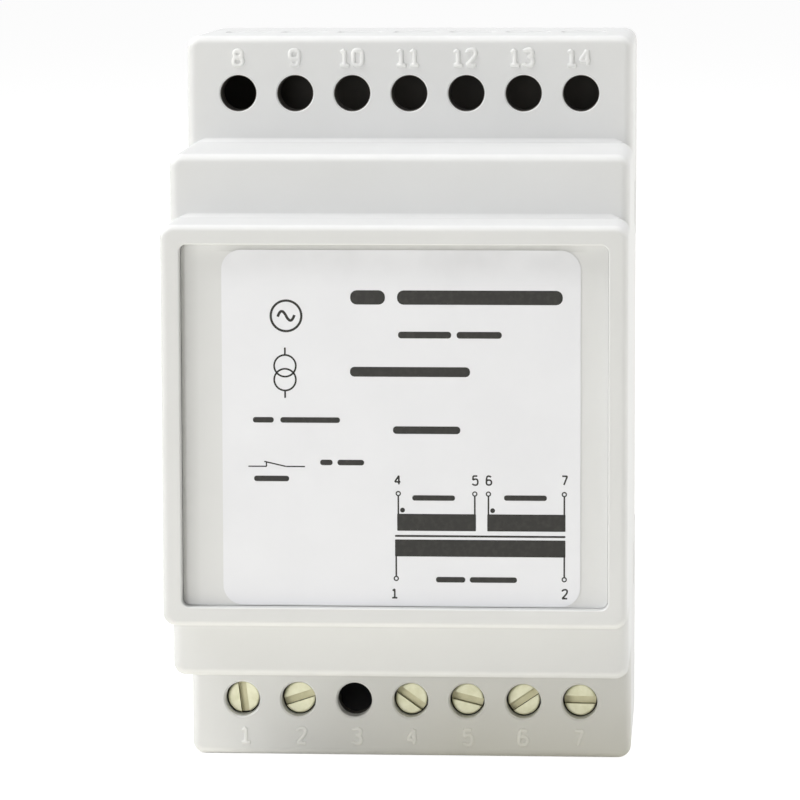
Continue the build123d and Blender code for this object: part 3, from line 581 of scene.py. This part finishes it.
def winding_diagram():
    """Two secondary windings over the core line and the primary, with leads, terminal rings and dots."""
    ink = []
    for bar in SECONDARIES:
        ink.append(plate(*bar, SECONDARY_TOP - WINDING_HEIGHT, SECONDARY_TOP))
        ink += ringed_leads(bar, SECONDARY_TOP, RING_UP)
        ink.append(disc(bar[0] + DOT_ASIDE, SECONDARY_TOP + DOT_ABOVE, DOT))
    ink.append(level_plate(*PRIMARY, CORE_LEVEL, CORE_LINE))
    ink.append(plate(*PRIMARY, PRIMARY_TOP - WINDING_HEIGHT, PRIMARY_TOP))
    ink += ringed_leads(PRIMARY, PRIMARY_TOP - WINDING_HEIGHT, RING_DOWN)
    return join(ink, "label_winding_diagram")


def diagram_numbers():
    """The terminal numbers at the ends of the diagram's leads."""
    ink = []
    for text, (x, z) in DIAGRAM_NUMBERS.items():
        ink.append(lettering(text, DIAGRAM_NUMBER, DIAGRAM_STROKE, INK_RISE, x, LABEL_FACE_Y, z))
    return join(ink, "label_diagram_numbers")


def thermal_switch_sign():
    """A closed contact that opens when it is hot, drawn as a circuit sign."""
    ink = [level_plate(left, right, SWITCH_LEVEL, SWITCH_LEAD_LINE) for left, right in SWITCH_LEADS]
    ink += [slanted_plate(*ends, SWITCH_LINE) for ends in SWITCH_LINES]
    return join(ink, "label_switch_sign")


def transformer_sign():
    """Two linked rings with a lead at each end, drawn as a circuit sign."""
    x, z = TRANSFORMER_AT
    near, far = COIL_LEAD
    ink = [
        disc(x, z + COIL_SHIFT, COIL_RING, COIL_LINE),
        disc(x, z - COIL_SHIFT, COIL_RING, COIL_LINE),
        upright_plate(x, z + near, z + far, COIL_LINE),
        upright_plate(x, z - far, z - near, COIL_LINE),
    ]
    return join(ink, "label_transformer_sign")


def alternating_current_sign():
    """A wave in a ring, drawn as a circuit sign."""
    x, z = CURRENT_AT
    ring = disc(x, z, CURRENT_RING, CURRENT_LINE)
    wave = lettering("~", WAVE_HEIGHT, WAVE_STROKE, INK_RISE, x, LABEL_FACE_Y, z)
    return join([ring, wave], "label_current_sign")


def blank_lines():
    """Plain bars where words would stand."""
    bars = []
    for left, right, z, height in BLANK_LINES:
        bars.append(plate(left, right, z - height / 2, z + height / 2, corner=ROUNDEST * height))
    return join(bars, "label_blank_lines")


# Node helpers
def feed(tree, source, socket):
    """Links a node's output to a socket, or sets a plain value on it."""
    if isinstance(source, bpy.types.NodeSocket):
        tree.links.new(source, socket)
    else:
        socket.default_value = source


def calculate(tree, operation, first, second=0.0):
    """The result of a mathematical operation on one or two values."""
    node = tree.nodes.new("ShaderNodeMath")
    node.operation = operation
    feed(tree, first, node.inputs[0])
    feed(tree, second, node.inputs[1])
    return node.outputs["Value"]


def product(tree, first, *others):
    """Two or more values multiplied together."""
    for other in others:
        first = calculate(tree, "MULTIPLY", first, other)
    return first


def spread(tree, value, start, end, low=0.0, high=1.0):
    """Goes from low to high as a value goes from start to end, and stays there beyond them."""
    node = tree.nodes.new("ShaderNodeMapRange")
    for name, number in (("From Min", start), ("From Max", end), ("To Min", low), ("To Max", high)):
        node.inputs[name].default_value = number
    tree.links.new(value, node.inputs["Value"])
    return node.outputs["Result"]


def separate(tree, vector):
    """The three parts of a vector, by the names X, Y and Z."""
    node = tree.nodes.new("ShaderNodeSeparateXYZ")
    tree.links.new(vector, node.inputs["Vector"])
    return node.outputs


def mix_colours(tree, factor, first, second, blend="MIX"):
    """Goes from the first colour to the second by a factor."""
    node = tree.nodes.new("ShaderNodeMix")
    node.data_type = "RGBA"
    node.blend_type = blend
    feed(tree, factor, node.inputs["Factor"])
    feed(tree, first, node.inputs[MIX_FIRST])
    feed(tree, second, node.inputs[MIX_SECOND])
    return node.outputs[MIX_RESULT]


def ramp_colours(tree, factor, low, high, start=0.0, end=1.0):
    """A colour ramp's node, with one colour at start and another at end."""
    node = tree.nodes.new("ShaderNodeValToRGB")
    stops = node.color_ramp.elements
    stops[0].color = low
    stops[1].color = high
    stops[0].position = start
    stops[1].position = end
    tree.links.new(factor, node.inputs["Fac"])
    return node


def noise(tree, place, per_mm, detail):
    """A soft random pattern."""
    node = tree.nodes.new("ShaderNodeTexNoise")
    node.inputs["Scale"].default_value = per_mm / MM
    node.inputs["Detail"].default_value = detail
    tree.links.new(place, node.inputs["Vector"])
    return node.outputs["Fac"]


def mottle(tree, place, per_mm, low, high, span=EVEN_SPREAD):
    """Soft patches from one colour to another."""
    return ramp_colours(tree, noise(tree, place, per_mm, PATCH_DETAIL), low, high, *span).outputs["Color"]


def bands(tree, place, direction, pitch_mm, wander):
    """Even stripes across a direction, one pair to each pitch."""
    wave = tree.nodes.new("ShaderNodeTexWave")
    wave.bands_direction = direction
    wave.inputs["Scale"].default_value = WAVE_PITCH / (pitch_mm * MM)
    wave.inputs["Distortion"].default_value = wander
    wave.inputs["Detail"].default_value = BAND_DETAIL
    tree.links.new(place, wave.inputs["Vector"])
    return wave.outputs["Fac"]


def roughen(tree, place, shader, per_mm, low, high):
    """Gloss that changes a little over the surface."""
    gloss = spread(tree, noise(tree, place, per_mm, FINE_DETAIL), 0.0, 1.0, low, high)
    tree.links.new(gloss, shader.inputs["Roughness"])


def raise_relief(tree, height, shader, depth_mm):
    """Turns a pattern's height into relief of that depth."""
    bump = tree.nodes.new("ShaderNodeBump")
    bump.inputs["Strength"].default_value = 1.0
    bump.inputs["Distance"].default_value = depth_mm * MM
    tree.links.new(height, bump.inputs["Height"])
    tree.links.new(bump.outputs["Normal"], shader.inputs["Normal"])


def raise_grain(tree, place, shader, per_mm, depth_mm, detail=FINE_DETAIL):
    """Fine relief of the mould or the tool that made the surface."""
    raise_relief(tree, noise(tree, place, per_mm, detail), shader, depth_mm)


def within_box(tree, place, low, high):
    """1 inside a box given in millimetres and 0 outside it."""
    middle = tree.nodes.new("ShaderNodeVectorMath")
    middle.operation = "SUBTRACT"
    middle.inputs[1].default_value = [(a + b) / 2 * MM for a, b in zip(low, high)]
    tree.links.new(place, middle.inputs[0])
    parts = separate(tree, middle.outputs["Vector"])
    near = []
    for axis, a, b in zip("XYZ", low, high):
        away = calculate(tree, "ABSOLUTE", parts[axis])
        near.append(calculate(tree, "LESS_THAN", away, (b - a) / 2 * MM))
    return product(tree, *near)


def fade(tree, place, axis, full, none):
    """1 at one place along an axis, given in millimetres, which fades to 0 at another."""
    return spread(tree, separate(tree, place)[axis], full * MM, none * MM, 1.0, 0.0)


# Finishes
def recess_painted_shadow(tree, place):
    """Painted shadow of the rim on the front panel, along its left side and above the label."""
    left = product(tree, fade(tree, place, "X", *LEFT_SHADOW), within_box(tree, place, *PANEL_FACE))
    above = product(tree, fade(tree, place, "Z", *TOP_SHADOW), within_box(tree, place, *PANEL_TOP),
                    *[fade(tree, place, "X", *end) for end in TOP_SHADOW_ENDS])
    return calculate(tree, "MAXIMUM", left, above)


def painted_warm_bounce(tree, place):
    """A painted warm bounce that grows down and to the right over the lower terminal face, in the shoulder's
    shade.
    """
    return product(tree, fade(tree, place, "X", *WARM_BOUNCE_ACROSS), fade(tree, place, "Z", *WARM_BOUNCE_DOWN),
                   within_box(tree, place, *LOWER_FACE))


def painted_edge_highlights(tree):
    """1 where painted highlights lie, on the rounded edges and roots that run across the front, 0 on the flat
    faces.
    """
    parts = separate(tree, tree.nodes.new("ShaderNodeTexCoord").outputs["Normal"])
    slope = calculate(tree, "ABSOLUTE", product(tree, parts["Y"], parts["Z"]))
    return spread(tree, slope, *HIGHLIGHT_SLOPE)


def slot_shade_and_dirt(tree, place):
    """A tint of painted shade with dirt that darkens the walls of a screw's slot and leaves its head and the
    slot's floor clean.
    """
    depth = spread(tree, separate(tree, place)["Y"], HEAD_FACE_Y * MM, (HEAD_FACE_Y + SLOT_DEPTH) * MM)
    tint = ramp_colours(tree, depth, WHITE, SLOT_FLOOR)
    for position, colour in SLOT_SHADE_AND_DIRT:
        tint.color_ramp.elements.new(position).color = colour
    return tint.outputs["Color"]


def new_finish(name, metallic=0.0):
    """A material with its node tree, its shader and the place on the piece that patterns read."""
    material = bpy.data.materials.new(name)
    material.use_nodes = True
    tree = material.node_tree
    shader = tree.nodes["Principled BSDF"]
    shader.inputs["Metallic"].default_value = metallic
    place = tree.nodes.new("ShaderNodeTexCoord").outputs["Object"]
    return material, tree, shader, place


def housing_finish():
    """Light grey moulding with a fine spark-eroded grain, painted highlights on rounded edges, a painted warm
    bounce low down, painted shadow in the front recess and painted shade inside.
    """
    material, tree, shader, place = new_finish("housing_light_grey")
    shell = mottle(tree, place, SHELL_PATCHES, PLASTIC_DEEP, PLASTIC_LIGHT)
    inside_shade = mottle(tree, place, INSIDE_SHADE_PATCHES, INSIDE_SHADE_DARK, INSIDE_SHADE_BROWN)
    # Painted highlights on edges, painted warm bounce, painted recess shadow, the dark joint line, then
    # painted shade in the upper holes and inside
    layers = (
        (painted_edge_highlights(tree), mottle(tree, place, EDGE_HIGHLIGHT_PATCHES, EDGE_HIGHLIGHT_DEEP, EDGE_HIGHLIGHT_LIGHT)),
        (painted_warm_bounce(tree, place), mottle(tree, place, WARM_BOUNCE_PATCHES, WARM_BOUNCE_DEEP, WARM_BOUNCE_LIGHT)),
        (recess_painted_shadow(tree, place), mottle(tree, place, SHADOW_PATCHES, PLASTIC_SHADOWED, PLASTIC_SHADOWED_LIGHT)),
        (within_box(tree, place, *SEAM), mottle(tree, place, SEAM_PATCHES, SEAM_DARK, SEAM_LIGHT)),
        (within_box(tree, place, *UPPER_HOLES), inside_shade),
        (within_box(tree, place, *INSIDE), inside_shade),
    )
    for factor, colour in layers:
        shell = mix_colours(tree, factor, shell, colour)
    tree.links.new(shell, shader.inputs["Base Color"])
    shader.inputs["Specular IOR Level"].default_value = LOW_SHINE
    roughen(tree, place, shader, *SHELL_GLOSS)
    raise_grain(tree, place, shader, *SHELL_GRAIN)
    return material


def number_finish():
    """The housing's plastic painted a little paler on the moulded numbers as a painted sheen, with a painted
    warm bounce on the lower ones.
    """
    material, tree, shader, place = new_finish("housing_number")
    # Painted sheen, paler than the housing
    pale = mottle(tree, place, NUMBER_PATCHES, PLASTIC_LIGHT, NUMBER_SHEEN)
    # Painted warm bounce on the lower numbers
    warm_bounce = mottle(tree, place, NUMBER_PATCHES, WARM_BOUNCE_LIGHT, NUMBER_WARM_BOUNCE)
    tree.links.new(mix_colours(tree, painted_warm_bounce(tree, place), pale, warm_bounce), shader.inputs["Base Color"])
    roughen(tree, place, shader, *NUMBER_GLOSS)
    return material


def film_finish():
    """Pale satin label film with a faint fibre, darker towards the top with a painted shadow of the rim."""
    material, tree, shader, place = new_finish("label_film")
    film = mottle(tree, place, FILM_PATCHES, FILM_DEEP, FILM_LIGHT)
    # Painted shadow of the rim, darker towards the top of the film
    shadowed_film = mottle(tree, place, FILM_PATCHES, FILM_SHADOWED, FILM_DEEP)
    rim_shadow = fade(tree, place, "Z", *FILM_SHADOW)
    tree.links.new(mix_colours(tree, rim_shadow, film, shadowed_film), shader.inputs["Base Color"])
    roughen(tree, place, shader, *FILM_GLOSS)
    raise_grain(tree, place, shader, *FILM_GRAIN)
    return material


def ink_finish():
    """Dark grey transfer print, a little thin in places."""
    material, tree, shader, place = new_finish("label_ink")
    colour = mottle(tree, place, INK_PATCHES, INK_DARK, INK_WORN, INK_SPREAD)
    tree.links.new(colour, shader.inputs["Base Color"])
    shader.inputs["Specular IOR Level"].default_value = LOW_SHINE
    roughen(tree, place, shader, *INK_GLOSS)
    return material


def screw_finish():
    """Yellow passivated zinc on steel, with small tool marks and painted shade with dirt on the walls of the
    slot.
    """
    material, tree, shader, place = new_finish("screw_yellow_zinc", ZINC_METAL)
    zinc = mottle(tree, place, ZINC_PATCHES, ZINC_YELLOW_DEEP, ZINC_YELLOW, ZINC_SPREAD)
    # Painted shade with dirt in the slot
    shaded = mix_colours(tree, 1.0, zinc, slot_shade_and_dirt(tree, place), "MULTIPLY")
    tree.links.new(shaded, shader.inputs["Base Color"])
    roughen(tree, place, shader, *ZINC_GLOSS)
    raise_grain(tree, place, shader, *ZINC_GRAIN, ZINC_DETAIL)
    return material


def mottled_finish(name, metallic, per_mm, deep, light, gloss, grain):
    """A finish in soft patches with a fine grain."""
    material, tree, shader, place = new_finish(name, metallic)
    tree.links.new(mottle(tree, place, per_mm, deep, light), shader.inputs["Base Color"])
    roughen(tree, place, shader, *gloss)
    raise_grain(tree, place, shader, *grain)
    return material


def banded_finish(name, metallic, direction, pitch_mm, deep, light, wander, gloss, depth_mm):
    """A finish in stripes that stand out a little."""
    material, tree, shader, place = new_finish(name, metallic)
    stripes = bands(tree, place, direction, pitch_mm, wander)
    tree.links.new(ramp_colours(tree, stripes, deep, light).outputs["Color"], shader.inputs["Base Color"])
    roughen(tree, place, shader, *gloss)
    raise_relief(tree, stripes, shader, depth_mm)
    return material


def dress_nodes():
    """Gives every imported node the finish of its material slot."""
    finishes = {"housing": housing_finish(), "label": film_finish(), "screw": screw_finish()}
    for slot, values in MOTTLED.items():
        finishes[slot] = mottled_finish(*values)
    for slot, values in BANDED.items():
        finishes[slot] = banded_finish(*values)
    for subpart in frame["record"]["subparts"]:
        node = frame["nodes"][subpart["node"]]
        node.data.materials.clear()
        node.data.materials.append(finishes[subpart["material_slot"]])
    return finishes


def dress_piece(piece, finish):
    """Gives a new piece its finish and its place on the housing."""
    piece.data.materials.clear()
    piece.data.materials.append(finish)
    select_only(piece)
    bpy.ops.object.shade_smooth_by_angle(angle=SMOOTH_BELOW)
    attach(piece, HOUSING)


# Stage, light and camera
def seen_rays(tree):
    """1 for rays that show the stage in the picture, in gloss or through glass."""
    path = tree.nodes.new("ShaderNodeLightPath")
    seen = path.outputs["Is Camera Ray"]
    for name in ("Is Glossy Ray", "Is Transmission Ray"):
        seen = calculate(tree, "MAXIMUM", seen, path.outputs[name])
    return seen


def lay_floor():
    """A wide pale floor under the part that keeps its shadow."""
    deselect()
    bpy.ops.mesh.primitive_plane_add(size=FLOOR_SIZE, location=(0, 0, cad_box[0][2]))
    floor = bpy.context.object
    floor.name = "stage_floor"
    material = bpy.data.materials.new("stage_pale")
    material.use_nodes = True
    tree = material.node_tree
    tree.nodes.remove(tree.nodes["Principled BSDF"])
    seen = seen_rays(tree)
    matt = tree.nodes.new("ShaderNodeBsdfDiffuse")
    tree.links.new(mix_colours(tree, seen, FLOOR_BOUNCE, FLOOR_SHOWN), matt.inputs["Color"])
    glow = tree.nodes.new("ShaderNodeEmission")
    tree.links.new(product(tree, seen, FLOOR_LIFT), glow.inputs["Strength"])
    both = tree.nodes.new("ShaderNodeAddShader")
    tree.links.new(matt.outputs["BSDF"], both.inputs[0])
    tree.links.new(glow.outputs["Emission"], both.inputs[1])
    tree.links.new(both.outputs["Shader"], tree.nodes["Material Output"].inputs["Surface"])
    floor.data.materials.append(material)


def light_sky():
    """An even white surround, which the camera sees as white."""
    world = bpy.data.worlds.new("white_surround")
    bpy.context.scene.world = world
    world.use_nodes = True
    tree = world.node_tree
    plain = tree.nodes["Background"]
    plain.inputs["Color"].default_value = WHITE
    plain.inputs["Strength"].default_value = SKY_STRENGTH
    shown = tree.nodes.new("ShaderNodeBackground")
    shown.inputs["Color"].default_value = WHITE
    shown.inputs["Strength"].default_value = 1.0
    choice = tree.nodes.new("ShaderNodeMixShader")
    tree.links.new(seen_rays(tree), choice.inputs["Fac"])
    tree.links.new(plain.outputs["Background"], choice.inputs[1])
    tree.links.new(shown.outputs["Background"], choice.inputs[2])
    tree.links.new(choice.outputs["Shader"], tree.nodes["World Output"].inputs["Surface"])


def hang_lamps():
    """Soft square lamps that all point at the part's middle."""
    for name, (place, size, power) in LAMPS.items():
        deselect()
        bpy.ops.object.light_add(type="AREA", location=place)
        lamp = bpy.context.object
        lamp.name = name
        lamp.data.shape = "SQUARE"
        lamp.data.size = size
        lamp.data.energy = power
        x, y, z = [a - b for a, b in zip(place, LAMP_AIM)]
        lamp.rotation_euler = (math.atan2(math.hypot(x, y), z), 0, math.atan2(y, x) + math.pi / 2)


def place_camera():
    """The photograph's own viewpoint."""
    deselect()
    turn = [math.radians(angle) for angle in CAMERA_TURN]
    bpy.ops.object.camera_add(location=CAMERA_PLACE, rotation=turn)
    camera = bpy.context.object
    camera.data.lens = CAMERA_LENS
    bpy.context.scene.camera = camera


finishes = dress_nodes()
for root in step_roots():
    dress_piece(root, finishes["housing"])
number_plastic = number_finish()
for number in moulded_numbers():
    dress_piece(number, number_plastic)
film = label_film()
dress_piece(film, finishes["label"])
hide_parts("label")
ink = ink_finish()
prints = (winding_diagram(), diagram_numbers(), thermal_switch_sign(), transformer_sign(),
          alternating_current_sign(), blank_lines())
for print_piece in prints:
    dress_piece(print_piece, ink)
lay_floor()
light_sky()
hang_lamps()
place_camera()
